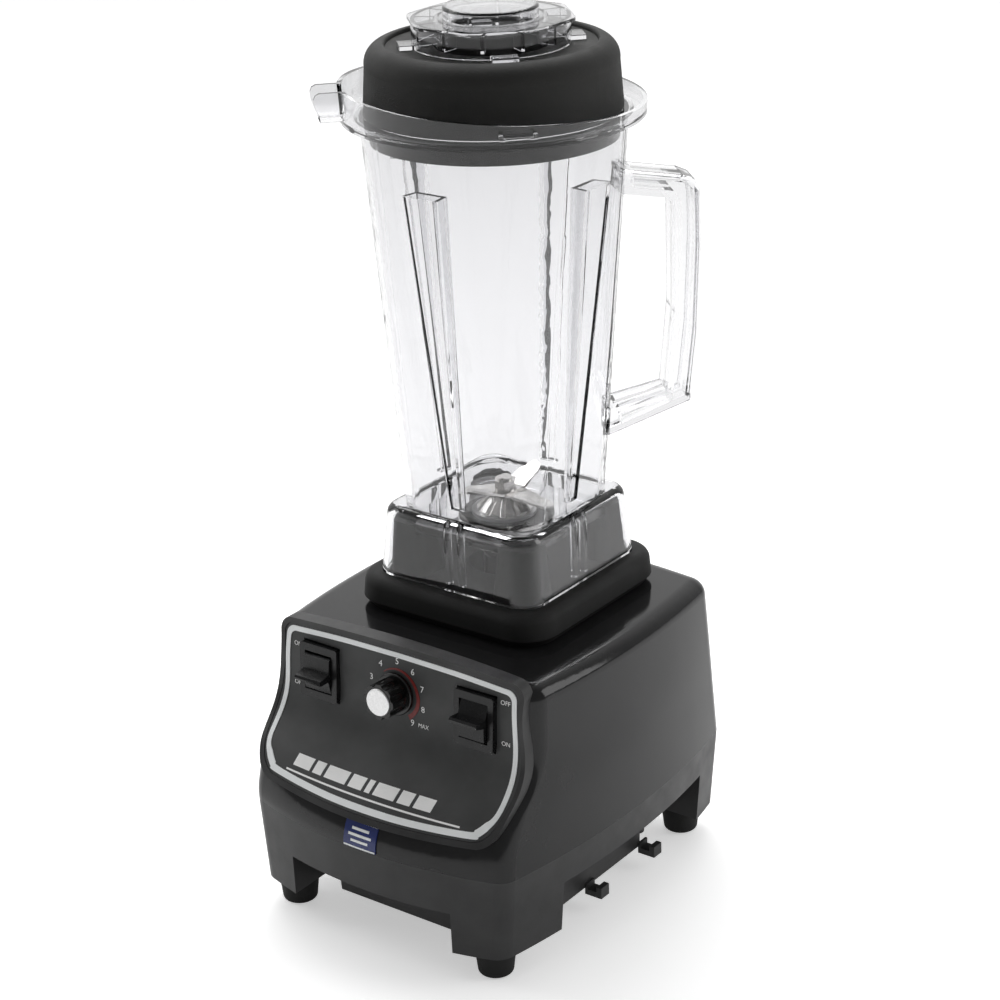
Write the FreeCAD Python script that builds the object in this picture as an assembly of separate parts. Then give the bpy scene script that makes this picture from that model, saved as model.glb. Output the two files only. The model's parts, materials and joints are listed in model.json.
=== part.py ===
import FreeCAD, Part
import os
from math import atan2, cos, degrees, hypot, pi, radians, sin, sqrt

# Countertop blender, millimetres. Origin: centre of the base footprint at the height of the
# feet's undersides. +Z up, -Y is the front with the control panel, +X is the user's right.

V = FreeCAD.Vector
UP = V(0, 0, 1)

# ---- driving dimensions ----
WALL = 3.0                      # moulded wall of the base shells
FOOT_H = 16.8                   # feet lift the legs this far off the table
PART_Z = 67.2                   # parting line between lower base and housing
TOP_Z = 171.5                   # flat top of the housing
TOP_ROUND = 10.0                # rounding of the housing's top edge
HALF_X = 90.0                   # half width at the corners; the sides bulge out from there
FRONT_Y, REAR_Y = -107.0, 114.5       # corners at the parting line
BOW_SIDE, BOW_FRONT, BOW_REAR = 12.0, 14.5, 7.0
SIDE_FALL, REAR_FALL = 5.4, 13.8      # the housing's sides flatten and its rear leans in by these
CORNER_R = 12.0
DECK_Z = 48.0                   # underside of the lower base's inner deck
NOTCH_X = 57.0                  # half width of the front and rear notches between the legs
NOTCH_FRONT_Z = 42.0            # top of the front and rear notches
NOTCH_Y = (-61.0, 85.0)         # the side notches run between these
FOOT_X, FOOT_Y = 71.8, (-94.2, 97.8)

AXIS_Y = 25.1                   # the motor, blade and jar share one vertical axis at x = 0
PAD_HALF, PAD_TOP = 66.0, 191.0
SOCKET_Z = (173.0, 197.0)       # drive socket
GAP = 0.3                       # air between parts on different bodies

SKIRT_Z = PAD_TOP + GAP         # bottom edge of the jar's skirt
SKIRT_HALF, SKIRT_TOP_HALF, SKIRT_R = 56.0, 52.5, 14.0
LEDGE_Z = 232.0                 # shoulder where the skirt meets the jar's body
FLOOR_Z = 222.0                 # inside floor of the jar
FLOOR_T = 4.0
BODY_HALF, BODY_R = 45.5, 18.0  # rounded square at the jar's floor
MOUTH_Z, MOUTH_R = 455.5, 73.6  # round outside of the jar under its flange
JAR_WALL = 2.6
FLANGE_Z, FLANGE_R = 458.5, 83.4
RIM_MID_Z, RIM_SLOPE = 468.5, 0.075   # the rim is cut on a slant, highest over the spout
HANDLE_AZ, SPOUT_AZ = 45.0, 225.0

LID_R, LID_TOP = 71.0, 496.0
DISH_Z = 493.7                  # floor of the lid's dish, under the plug
PLUG_TOP = 514.8

KNOB_Z, SWITCH_X, SWITCH_Z = 149.0, 55.0, 147.7
KNOB_DEPTH = 17.0               # the knob's face stands this far out from the fascia
SHAFT_R = 4.0                   # motor shaft and blade spindle
RUN_FIT = 0.05                  # radial clearance of a running fit


def save(name, shape):
    shape.exportStep(f"parts/{name}.step")


def cyl(r, z0, z1, x=0.0, y=0.0):
    return Part.makeCylinder(r, z1 - z0, V(x, y, z0))


def tube(r_out, r_in, z0, z1, x=0.0, y=0.0):
    return cyl(r_out, z0, z1, x, y).cut(cyl(r_in, z0 - 1, z1 + 1, x, y))


def block(x0, x1, y0, y1, z0, z1):
    return Part.makeBox(x1 - x0, y1 - y0, z1 - z0, V(x0, y0, z0))


def fuse(shapes):
    shapes = list(shapes)
    return shapes[0].multiFuse(shapes[1:]).removeSplitter() if len(shapes) > 1 else shapes[0]


def turned(points, x=0.0, y=0.0):
    """Solid of revolution about a vertical axis from a closed (radius, z) outline."""
    wire = Part.makePolygon([V(r, 0, z) for r, z in points + points[:1]])
    solid = Part.Face(wire).revolve(V(0, 0, 0), UP, 360)
    solid.translate(V(x, y, 0))
    return solid


def spun(shape, angle, x=0.0, y=0.0):
    copy = shape.copy()
    copy.rotate(V(x, y, 0), UP, angle)
    return copy


def on_axis(shape):
    """Move a shape modelled about the origin onto the motor and jar axis."""
    copy = shape.copy()
    copy.translate(V(0, AXIS_Y, 0))
    return copy


def arc(a, m, b):
    return Part.Arc(a, m, b).toShape()


def unit(dx, dy):
    length = hypot(dx, dy)
    return dx / length, dy / length


def bowed_wire(z, half_x, y_front, y_rear, corner_r, bow_side, bow_front, bow_rear):
    """Rounded rectangle whose four sides bulge outwards, with tangent corner arcs."""
    y_mid = (y_front + y_rear) / 2
    half_y = (y_rear - y_front) / 2

    def circle(half_chord, bow):
        return (half_chord ** 2 + bow ** 2) / (2 * bow)

    r_side = circle(half_y, bow_side)
    r_front, r_rear = circle(half_x, bow_front), circle(half_x, bow_rear)
    x_side = half_x + bow_side - r_side
    centres = {"front": (0, y_front - bow_front + r_front, r_front),
               "right": (x_side, y_mid, r_side),
               "rear": (0, y_rear + bow_rear - r_rear, r_rear),
               "left": (-x_side, y_mid, r_side)}

    def corner(a, b):
        """Centre of the corner arc, tangent inside the circles of both sides."""
        (ax, ay, ar), (bx, by, br) = centres[a], centres[b]
        ra, rb = ar - corner_r, br - corner_r
        d = hypot(bx - ax, by - ay)
        along = (d * d + ra * ra - rb * rb) / (2 * d)
        across = sqrt(ra * ra - along * along)
        ux, uy = unit(bx - ax, by - ay)
        spots = [(ax + ux * along + s * uy * across, ay + uy * along - s * ux * across)
                 for s in (1, -1)]
        sx = 1 if "right" in (a, b) else -1
        sy = 1 if "rear" in (a, b) else -1
        return max(spots, key=lambda p: sx * p[0] + sy * p[1])

    order = ["front", "right", "rear", "left"]
    corners = [corner(order[i], order[(i + 1) % 4]) for i in range(4)]

    def touch(side, c):
        x, y, r = centres[side]
        ux, uy = unit(c[0] - x, c[1] - y)
        return V(x + ux * r, y + uy * r, z)

    edges = []
    for i, side in enumerate(order):
        before, after = corners[i - 1], corners[i]
        x, y, r = centres[side]
        start, end = touch(side, before), touch(side, after)
        out = {"front": (0, -1), "right": (1, 0), "rear": (0, 1), "left": (-1, 0)}[side]
        edges.append(arc(start, V(x + out[0] * r, y + out[1] * r, z), end))
        leave = touch(order[(i + 1) % 4], after)
        ux, uy = unit((end.x + leave.x) / 2 - after[0], (end.y + leave.y) / 2 - after[1])
        middle = V(after[0] + ux * corner_r, after[1] + uy * corner_r, z)
        edges.append(arc(end, middle, leave))
    return Part.Wire(edges)


def rounded_square(z, half, r, x=0.0, y=0.0):
    """Rounded square with the same eight edges as round_wire, for lofts between them."""
    k = r * (1 - sqrt(0.5))
    edges = []
    for quarter in range(4):
        c, s = cos(quarter * pi / 2), sin(quarter * pi / 2)

        def at(px, py):
            return V(x + px * c - py * s, y + px * s + py * c, z)

        edges.append(Part.LineSegment(at(half, r - half), at(half, half - r)).toShape())
        edges.append(arc(at(half, half - r), at(half - k, half - k), at(half - r, half)))
    return Part.Wire(edges)


def round_wire(z, radius, flat_angle, x=0.0, y=0.0):
    """Circle in eight arcs, the ones over the square's flats spanning flat_angle."""
    edges = []
    for quarter in range(4):
        mid = quarter * pi / 2
        stops = [mid - flat_angle / 2, mid, mid + flat_angle / 2, mid + pi / 4,
                 mid + pi / 2 - flat_angle / 2]
        points = [V(x + radius * cos(a), y + radius * sin(a), z) for a in stops]
        edges.append(arc(*points[0:3]))
        edges.append(arc(*points[2:5]))
    return Part.Wire(edges)


def loft(wires, ruled=False):
    return Part.makeLoft(wires, True, ruled)


# ---- base shells ----

# Heights of the housing's sections: (z, y of the front, front bow). The front is upright behind
# the controls and flares forward below them.
FRONT = [(PART_Z, FRONT_Y, BOW_FRONT), (78.0, -106.3, 13.5), (86.0, -104.2, 11.5), (96.0, -100.6, 8.0),
         (104.0, -96.0, 5.5), (118.0, -83.7, 2.5), (134.0, -77.4, 1.0), (150.0, -76.4, 1.0),
         (TOP_Z, -75.5, 1.0)]


def housing_solid(inset, top, rounding, reach=0.0):
    """Outer form of the housing, or its inside when inset; reach pushes the front forward."""
    wires = []
    for z, y_front, bow in FRONT:
        t = (z - PART_Z) / (TOP_Z - PART_Z)
        level = min(z, top) if z < TOP_Z else top
        wires.append(bowed_wire(level, HALF_X - inset, y_front + inset - reach,
                                REAR_Y - REAR_FALL * t - inset, CORNER_R - inset,
                                BOW_SIDE - SIDE_FALL * t, bow, BOW_REAR))
    solid = loft(wires)
    if rounding:
        edges = [e for e in solid.Edges
                 if min(v.Z for v in e.Vertexes) > top - 0.01]
        solid = solid.makeFillet(rounding, edges)
    return solid


def skirt_solid(inset, z0, z1):
    wires = []
    for z in (z0, z1):
        t = (z - FOOT_H) / (PART_Z - FOOT_H)
        draft = 1 - t
        wires.append(bowed_wire(z, HALF_X - 4.0 * draft - inset, FRONT_Y + 0.7 * draft + inset,
                                REAR_Y - draft - inset, CORNER_R - inset,
                                BOW_SIDE, BOW_FRONT, BOW_REAR))
    return loft(wires, ruled=True)


SCREW_SPOTS = [(sx * 84.0, y) for sx in (-1, 1) for y in (-40.0, 60.0)]
PAN_SPOTS = [(sx * 64.0, y) for sx in (-1, 1) for y in (-45.0, 60.0)]
FEET = [(sx * FOOT_X, y) for sx in (-1, 1) for y in FOOT_Y]


def leg_boxes(grow, z0, z1):
    boxes = []
    for sx in (-1, 1):
        x0, x1 = sorted((sx * (NOTCH_X - grow), sx * 130))
        boxes.append(block(x0, x1, -140, NOTCH_Y[0] + grow, z0, z1))
        boxes.append(block(x0, x1, NOTCH_Y[1] - grow, 140, z0, z1))
    return boxes


def lower_base():
    outer = skirt_solid(0, FOOT_H, PART_Z)
    inner = skirt_solid(WALL, FOOT_H - 1, PART_Z + 1)
    wall = outer.cut(inner)
    wall = wall.cut(block(-NOTCH_X, NOTCH_X, -140, 140, 0, NOTCH_FRONT_Z))
    wall = wall.cut(block(-130, 130, NOTCH_Y[0], NOTCH_Y[1], 0, DECK_Z))
    pieces = [wall]
    for solid_box, hollow_box in zip(leg_boxes(0, FOOT_H, DECK_Z + WALL),
                                     leg_boxes(-WALL, FOOT_H + WALL, DECK_Z + WALL + 1)):
        pieces.append(outer.common(solid_box).cut(inner.common(hollow_box)))
    deck = inner.common(block(-130, 130, -140, 140, DECK_Z, DECK_Z + WALL))
    deck = deck.cut(block(-55, 55, -88, 88, DECK_Z - 1, DECK_Z + WALL + 1))
    for hollow in leg_boxes(-WALL, DECK_Z - 1, DECK_Z + WALL + 1):
        deck = deck.cut(hollow)
    pieces.append(deck)
    pieces += [cyl(5, DECK_Z, PART_Z, x, y) for x, y in SCREW_SPOTS]
    base = fuse(pieces)
    for x, y in SCREW_SPOTS + PAN_SPOTS:
        base = base.cut(cyl(2.2, DECK_Z - 1, PART_Z + 1, x, y))
    for x, y in FEET:
        base = base.cut(cyl(2.2, FOOT_H - 1, FOOT_H + WALL + 1, x, y))
    return base


def bottom_pan():
    """Tray that closes the base from below, with a grid of air slots."""
    def outline(inset, z0, z1):
        half_x, y0, y1 = 76.0 - inset, -91.0 + inset, 80.0 - inset
        cut = 34.0
        points = [(-half_x, y0 + cut), (-half_x + cut, y0), (half_x - cut, y0), (half_x, y0 + cut),
                  (half_x, y1 - cut), (half_x - cut, y1), (-half_x + cut, y1), (-half_x, y1 - cut)]
        wire = Part.makePolygon([V(x, y, z0) for x, y in points + points[:1]])
        return Part.Face(wire).extrude(V(0, 0, z1 - z0))

    pan_z = 13.0
    tray = outline(0, pan_z, DECK_Z)
    hollow = outline(WALL, pan_z + WALL, DECK_Z + 1)
    for box in leg_boxes(1.0, 0, DECK_Z + 1):
        tray = tray.cut(box)
    for box in leg_boxes(1.0 + WALL, 0, DECK_Z + 2):
        hollow = hollow.cut(box)
    pan = fuse([tray.cut(hollow)] + [cyl(5, pan_z, DECK_Z, x, y) for x, y in PAN_SPOTS])
    for x, y in PAN_SPOTS:
        pan = pan.cut(cyl(2.2, 0, DECK_Z + 1, x, y)).cut(cyl(4.6, 0, pan_z + 4, x, y))
    for row in range(-5, 6):
        for side in (-1, 1):
            slot = block(side * 24 - 18, side * 24 + 18, row * 9 - 1.6, row * 9 + 1.6, 0, 20)
            pan = pan.cut(slot)
    return pan


def cord_cleats():
    """Two short upturned hooks under the right side that hold a wound cord."""
    bars = [block(76.0, 87.5, y - 4, y + 4, 9.0, 16.0) for y in (-8.0, 48.0)]
    hollows = [block(77.5, 84.0, y - 5, y + 5, 12.5, 17.0) for y in (-8.0, 48.0)]
    return Part.makeCompound([bar.cut(hollow) for bar, hollow in zip(bars, hollows)])


def rubber_feet():
    feet = []
    for x, y in FEET:
        foot = Part.makeCone(10.0, 12.0, FOOT_H, V(x, y, 0))
        foot = foot.makeFillet(2.5, [e for e in foot.Edges if e.BoundBox.ZMax < 0.1])
        feet.append(foot.cut(cyl(2.2, -1, FOOT_H + 1, x, y)).cut(cyl(4.6, -1, 7, x, y)))
    return Part.makeCompound(feet)


def screws(spots, head_z, head_h, tip_z, shank_r=2.0, head_r=4.0):
    """Identical pan-head screws driven upwards, their heads below head_z."""
    solids = []
    for x, y in spots:
        head = cyl(head_r, head_z - head_h, head_z, x, y)
        slot = block(x - 3, x + 3, y - 0.5, y + 0.5, head_z - head_h - 1, head_z - head_h + 1)
        solids.append(fuse([head.cut(slot), cyl(shank_r, head_z, tip_z, x, y)]))
    return Part.makeCompound(solids)


BRACKET_Z = 143.9               # underside of the motor's upper bracket
STUD_R = 36.0                   # pitch radius of the motor's four studs
MOTOR_POSTS = [(STUD_R * cos(radians(a)), AXIS_Y + STUD_R * sin(radians(a))) for a in (45, 135, 225, 315)]


def upper_housing():
    shell = housing_solid(0, TOP_Z, TOP_ROUND)
    hollow = housing_solid(WALL, TOP_Z - WALL, TOP_ROUND - WALL)
    shell = shell.cut(hollow.cut(block(-130, 130, -140, 140, 0, PART_Z - 1)))
    bosses = [cyl(5, PART_Z, 92, x, y) for x, y in SCREW_SPOTS]
    webs = [block(min(x, sx * 101), max(x, sx * 101), y - 1.2, y + 1.2, PART_Z, 90)
            for (x, y), sx in zip(SCREW_SPOTS, (-1, -1, 1, 1))]
    full = housing_solid(0.5, TOP_Z, 0)
    webs = [w.common(full) for w in webs]
    posts = [cyl(5, BRACKET_Z + 5, TOP_Z - 1, x, y) for x, y in MOTOR_POSTS]
    shell = fuse([shell] + bosses + webs + posts)
    for x, y in SCREW_SPOTS:
        shell = shell.cut(cyl(1.9, PART_Z - 1, 88, x, y))
    for x, y in MOTOR_POSTS:
        shell = shell.cut(cyl(1.9, 147, 162, x, y))
    shell = shell.cut(cyl(19, 150, TOP_Z + 1, 0, AXIS_Y))
    shell = shell.cut(rear_rod(6.5, -20, 20)).cut(rear_rod(9.0, 0, 20))
    return control_holes(shell, 11.2, 14.4)


def control_holes(shape, half_x, half_z):
    """Cut the two switch openings and the dial's hole through the front."""
    for x in (-SWITCH_X, SWITCH_X):
        shape = shape.cut(block(x - half_x, x + half_x, -140, -60, SWITCH_Z - half_z, SWITCH_Z + half_z))
    return shape.cut(Part.makeCylinder(6.6, 80, V(0, -140, KNOB_Z), V(0, 1, 0)))


# ---- control panel ----

def shield(inset, y0, y1):
    """Panel outline seen from the front, as a prism along Y: slightly arched top, nearly
    straight sides that spread a little downwards, and a gently bowed bottom edge."""
    top, low = 175.0 - inset, 85.0 + inset
    wide, waist, hip = 86.0 - inset, 87.4 - inset, 88.4 - inset
    r = 9.0 - inset * 0.6

    def p(x, z):
        return V(x, y0, z)

    k = r * (1 - sqrt(0.5))
    side = Part.BSplineCurve()
    side.interpolate([p(wide, top - r), p(waist, 136), p(hip, 108), p(hip - 5, low + 7.5)])
    lower = arc(p(hip - 5, low + 7.5), p(hip - 9, low + 3.9), p(hip - 14, low + 2.0))
    right = [arc(p(wide - r, top), p(wide - k, top - k), p(wide, top - r)), side.toShape(), lower]
    left = [e.mirror(V(0, 0, 0), V(1, 0, 0)) for e in right]
    top_edge = arc(p(r - wide, top), p(0, top + 3), p(wide - r, top))
    low_edge = arc(p(hip - 14, low + 2.0), p(0, low), p(14 - hip, low + 2.0))
    wire = Part.Wire(Part.__sortEdges__([top_edge, low_edge] + right + left))
    return Part.Face(wire).extrude(V(0, y1 - y0, 0))


PANEL_REACH = 5.0               # the frame's face stands this far in front of the housing
FASCIA_IN, FASCIA_T = 1.6, 1.2  # depth of the frame's recess and thickness of the fascia in it
LINE_T = 0.5                    # the outline stands this proud of the fascia
BEZEL_X, BEZEL_Z = 13.4, 16.3   # half size of the switch bezels


def panel_form(reach):
    """Block whose front carries on the housing's front arcs, moved forward and without corners."""
    half_x = HALF_X + 16
    wires = []
    for z, y_front, bow in FRONT[:-1] + [(TOP_Z + 10, FRONT[-1][1], FRONT[-1][2])]:
        radius = (HALF_X ** 2 + bow ** 2) / (2 * bow)
        wide_bow = radius - sqrt(radius ** 2 - half_x ** 2)
        wires.append(bowed_wire(z, half_x, y_front - bow + wide_bow, 0, 10, 2, wide_bow, 2))
    form = loft(wires)
    form.translate(V(0, -reach, 0))
    return form


def panel_layer(reach0, reach1, inset):
    """Slab between two positions of the panel's face, trimmed to the shield outline."""
    return panel_form(reach1).common(shield(inset, -140, -62)).cut(panel_form(reach0))


def main_solid(shape):
    """The largest solid of a boolean result, without slivers."""
    return max(shape.Solids, key=lambda s: s.Volume)


def panel_frame():
    frame = panel_form(PANEL_REACH).common(shield(0, -140, -71)).cut(housing_solid(0, TOP_Z, TOP_ROUND))
    frame = main_solid(frame).cut(panel_layer(PANEL_REACH - FASCIA_IN, PANEL_REACH + 1, 3.0))
    return main_solid(control_holes(frame, BEZEL_X + 0.1, BEZEL_Z + 0.6))


def panel_fascia():
    back = PANEL_REACH - FASCIA_IN
    fascia = panel_layer(back, back + FASCIA_T, 3.2)
    return main_solid(control_holes(fascia, BEZEL_X + 0.1, BEZEL_Z + 0.6))


def panel_outline():
    face = PANEL_REACH - FASCIA_IN + FASCIA_T
    return main_solid(panel_layer(face, face + LINE_T, 4.6).cut(shield(7.8, -140, -62)))


def badge():
    """Plain raised plate on the chin below the panel."""
    slab = housing_solid(0, TOP_Z, 0, 0.9).cut(housing_solid(0, TOP_Z, 0, 0))
    return main_solid(slab.common(block(-11.3, 11.3, -140, -60, 68.4, 84.2)))


# ---- switches and dial, on faces that lean back with the panel ----

FACE_Y = -81.9                  # fascia surface behind the switches and the dial
LEAN = 4.0                      # degrees the panel leans back there


def on_panel(shape, x, z):
    """Place a shape modelled about the origin, facing -Y, on the leaning part of the panel."""
    copy = shape.copy()
    copy.rotate(V(0, 0, 0), V(1, 0, 0), -LEAN)
    copy.translate(V(x, FACE_Y, z))
    return copy


def switch_body(x):
    """Bezel set into the panel, with the hollow case, pivot pins and tabs behind it."""
    bezel = block(-BEZEL_X, BEZEL_X, -3.2, 2.6, -BEZEL_Z, BEZEL_Z)
    bezel = bezel.makeFillet(1.5, [e for e in bezel.Edges if e.BoundBox.YLength > 5])
    case = block(-10.6, 10.6, 0, 30, -12.6, 12.6)
    body = fuse([bezel, case]).cut(block(-9.8, 9.8, -5, 14, -11.8, 11.8))
    tabs = [block(x - 0.4, x + 0.4, 30, 38, z - 3, z + 3) for x in (-5, 5) for z in (-7, 0, 7)]
    pivots = [Part.makeCylinder(1.5, 2.2, V(x, 1, 0), V(1, 0, 0)) for x in (-9.9, 7.7)]
    return on_panel(fuse([body] + tabs + pivots), x, SWITCH_Z)


def rocker(x, tilt):
    """Paddle with a projecting ledge across its middle, hinged on two stub pins; a positive
    tilt presses its lower half in."""
    side = [(-2.2, -11.0), (-4.4, -10.5), (-6.0, -2.0), (-12.5, -1.4), (-13.2, 0.2), (-12.5, 1.6),
            (-5.0, 2.4), (-3.4, 10.5), (-1.4, 11.0), (6.0, 6.0), (6.0, -6.0)]
    wire = Part.makePolygon([V(-9.3, y, z) for y, z in side + side[:1]])
    paddle = Part.Face(wire).extrude(V(18.6, 0, 0))
    for end in (-10.0, 7.5):
        paddle = paddle.cut(Part.makeCylinder(1.5 + RUN_FIT, 2.5, V(end, 1, 0), V(1, 0, 0)))
    paddle.rotate(V(0, 1, 0), V(1, 0, 0), tilt)
    return on_panel(paddle, x, SWITCH_Z)


def disc(r, y_from, depth):
    """Disc about the dial's axis, from y_from towards the user."""
    return Part.makeCylinder(r, depth, V(0, y_from, 0), V(0, -1, 0))


def speed_knob():
    """Skirted knob with eight finger flutes."""
    skirt = disc(12.4, -1.7, 2.0)
    skirt = skirt.makeFillet(0.8, [e for e in skirt.Edges if e.BoundBox.YMax < -3.6])
    body = disc(10.4, -3.6, KNOB_DEPTH - 3.6)
    for i in range(8):
        a = radians(i * 45 + 22.5)
        flute = Part.makeCylinder(2.6, 30, V(11.6 * cos(a), -5.0, 11.6 * sin(a)), V(0, -1, 0))
        body = body.cut(flute)
    knob = fuse([skirt, body]).cut(disc(3.0, 0, 11)).cut(disc(8.1, 0.6 - KNOB_DEPTH, 3))
    return on_panel(knob, 0, KNOB_Z)


def knob_cap():
    cap = disc(8.0, 0.6 - KNOB_DEPTH, 1.4)
    cap = cap.makeFillet(0.6, [e for e in cap.Edges if e.BoundBox.YMax < -KNOB_DEPTH])
    return on_panel(cap, 0, KNOB_Z)


def dial_shaft():
    return on_panel(disc(3.0, 16, 26), 0, KNOB_Z)


def speed_control():
    """Rotary control behind the panel: case, threaded bush and three tags."""
    body = fuse([disc(12.0, 34, 16), disc(4.6, 18, 18)]).cut(disc(3.0 + RUN_FIT, 19, 22))
    tags = [block(x - 1, x + 1, 24, 25, -20, -11) for x in (-5, 0, 5)]
    return on_panel(fuse([body] + tags), 0, KNOB_Z)


def dial_print():
    """Raised ring segment around the dial that grows wider towards high speed."""
    steps = 16
    curves, ends = [], []
    for r_start, r_end in ((14.4, 16.6), (13.8, 13.8)):
        points = []
        for i in range(steps + 1):
            t = i / steps
            a = radians(130 - 187 * t)
            r = r_start + (r_end - r_start) * t
            points.append(V(r * cos(a), -140, KNOB_Z + r * sin(a)))
        spline = Part.BSplineCurve()
        spline.interpolate(points)
        curves.append(spline.toShape())
        ends.append((points[0], points[-1]))
    lines = [Part.LineSegment(a, b).toShape() for a, b in zip(*ends)]
    wire = Part.Wire(Part.__sortEdges__(curves + lines))
    prism = Part.Face(wire).extrude(V(0, 80, 0))
    face = PANEL_REACH - FASCIA_IN + FASCIA_T
    return main_solid(panel_layer(face, face + 0.3, 4.0).common(prism))


# ---- pad ----

def jar_pad():
    """Rubber centring pad: an undercut square with four posts that rise inside the jar's skirt
    and stand clear of the jar's floor."""
    waist = rounded_square(TOP_Z + 5, PAD_HALF, 21)
    lower = loft([rounded_square(TOP_Z, PAD_HALF - 4, 19), waist], True)
    upper = loft([waist, rounded_square(PAD_TOP, PAD_HALF - 1, 21)], True)
    upper = upper.makeFillet(6.0, [e for e in upper.Edges if e.BoundBox.ZMin > PAD_TOP - 0.1])
    posts = []
    post_top = 222.5
    recess = loft([rounded_square(FLOOR_Z - FLOOR_T - 1.2, 47.0, 19.0), rounded_square(post_top + 1, 47.0, 19.0)])
    for quarter in range(4):
        foot = rounded_square(PAD_TOP - 1, 13.0, 6.0, 36.5, 36.5)
        head = rounded_square(post_top, 10.5, 6.0, 37.5, 37.5)
        post = loft([foot, head], True).cut(recess)
        posts.append(spun(post, quarter * 90))
    pad = fuse([lower, upper] + posts)
    return on_axis(pad.cut(cyl(22, TOP_Z - 1, PAD_TOP + 1)))


# ---- motor ----

def motor_frame(z, top):
    """End bracket with a bearing seat, four arms and feet on the through studs."""
    plate = cyl(17, z, z + 5)
    arms = [spun(block(0, 42, -5, 5, z, z + 5), 45 + 90 * i) for i in range(4)]
    feet = [cyl(6.5, z, z + 5, x, y - AXIS_Y) for x, y in MOTOR_POSTS]
    seat = cyl(14, z, z + 9) if top else cyl(14, z - 4, z + 5)
    body = fuse([plate, seat] + arms + feet)
    body = body.cut(cyl(11, z, z + 10) if top else cyl(11, z - 5, z + 3))
    body = body.cut(cyl(5.5, z - 10, z + 12))
    for x, y in MOTOR_POSTS:
        body = body.cut(cyl(2.2, z - 1, z + 6, x, y - AXIS_Y))
    return on_axis(body)


def bearing(z, height=7.0, r_out=11.0, r_in=SHAFT_R + RUN_FIT):
    """Ball bearing drawn as its two rings and shields."""
    ring = tube(r_out, r_in, z, z + height)
    groove = tube(r_out - 2, r_in + 2, z - 1, z + 0.4).fuse(tube(r_out - 2, r_in + 2, z + height - 0.4, z + height + 1))
    return on_axis(ring.cut(groove))


def stator():
    """Two-pole laminated core."""
    ring = tube(46, 38, 88, 128)
    poles = tube(46, 27.5, 88, 128).common(fuse([block(-60, 60, -14, 14, 88, 128)]))
    core = fuse([ring, poles])
    return on_axis(core)


def field_coils():
    coils = []
    for sx in (-1, 1):
        outer = block(28.5, 36.5, -23, 23, 82, 134)
        inner = block(20, 46, -14.4, 14.4, 87.6, 128.4)
        coil = outer.cut(inner).common(tube(37.6, 28.2, 80, 136))
        coils.append(main_solid(coil) if sx > 0 else main_solid(coil).mirror(V(0, 0, 0), V(1, 0, 0)))
    return on_axis(Part.makeCompound(coils))


def armature():
    core = tube(26.5, SHAFT_R, 88, 128)
    for i in range(12):
        core = core.cut(spun(block(19, 28, -1.3, 1.3, 87, 129), i * 30))
    return on_axis(core)


def armature_winding():
    top = turned([(7, 128.1), (21, 128.1), (20, 134), (8, 136)])
    low = turned([(7, 87.9), (21, 87.9), (20, 81), (8, 79)])
    return on_axis(Part.makeCompound([top, low]))


def commutator():
    body = tube(13, SHAFT_R, 63, 77)
    for i in range(24):
        body = body.cut(spun(block(11.5, 14, -0.25, 0.25, 62, 78), i * 15))
    return on_axis(body)


def brush_gear():
    """Two brass brush holders with their carbon brushes' boxes."""
    holders = []
    for sx in (-1, 1):
        box = block(16, 40, -4.5, 4.5, 64, 76).cut(block(15, 41, -3.1, 3.1, 66, 74))
        holders.append(box if sx > 0 else box.mirror(V(0, 0, 0), V(1, 0, 0)))
    return on_axis(Part.makeCompound(holders))


def brushes():
    blocks = [block(13.3, 30, -3.0, 3.0, 66.1, 73.9), block(-30, -13.3, -3.0, 3.0, 66.1, 73.9)]
    return on_axis(Part.makeCompound(blocks))


def cooling_fan():
    hub = tube(10, SHAFT_R, 137.5, 143)
    disc = tube(33, SHAFT_R, 141.5, 143)
    blades = [spun(block(9, 32, -0.6, 0.6, 137.5, 142), i * 360 / 14) for i in range(14)]
    return on_axis(fuse([hub, disc] + blades))


def motor_studs():
    studs = [fuse([cyl(1.85, 49, 160, x, y), cyl(3.8, 47, 50, x, y)]) for x, y in MOTOR_POSTS]
    return Part.makeCompound(studs)


def motor_shaft():
    return on_axis(fuse([cyl(SHAFT_R, 40, 186)]))


def splined(r_root, r_tip, z0, z1, teeth, width):
    ribs = [spun(block(0, r_tip, -width / 2, width / 2, z0, z1), i * 360 / teeth) for i in range(teeth)]
    return fuse([cyl(r_root, z0, z1)] + ribs)


def drive_socket():
    """Coupling on the motor shaft, splined inside to take the blade spindle."""
    body = cyl(13, *SOCKET_Z)
    body = body.makeFillet(1.5, [e for e in body.Edges if e.BoundBox.ZMin > SOCKET_Z[1] - 0.1])
    body = body.cut(cyl(SHAFT_R, SOCKET_Z[0] - 1, 186.5))
    body = body.cut(splined(5.6, 7.2, 186, SOCKET_Z[1] + 1, 8, 2.4))
    for i in range(6):
        body = body.cut(spun(cyl(2.0, SOCKET_Z[0] - 1, SOCKET_Z[0] + 13, 13.6, 0), i * 60))
    return on_axis(body)


def control_board():
    board = block(-38, 38, -62, -60.4, 76, 122)
    chips = [block(x, x + w, -60.4, -60.4 + h, z, z + l) for x, w, h, z, l in
             ((-32, 14, 14, 84, 18), (-10, 22, 8, 82, 12), (18, 14, 20, 84, 14), (-8, 10, 6, 102, 14))]
    return fuse([board] + chips)


def rear_rod(r, y0, y1):
    """Rod along Y through the gland's place in the rear wall, y counted from its seat there."""
    return Part.makeCylinder(r, y1 - y0, V(-60, 116.4 + y0, 82), V(0, 1, 0))


def cord_gland():
    """Strain relief bush seated in the rear wall, without its cord."""
    return fuse([rear_rod(8.9, 0, 3.0), rear_rod(6.4, -12, 1)]).cut(rear_rod(3.6, -20, 20))


# ---- jar ----

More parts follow.
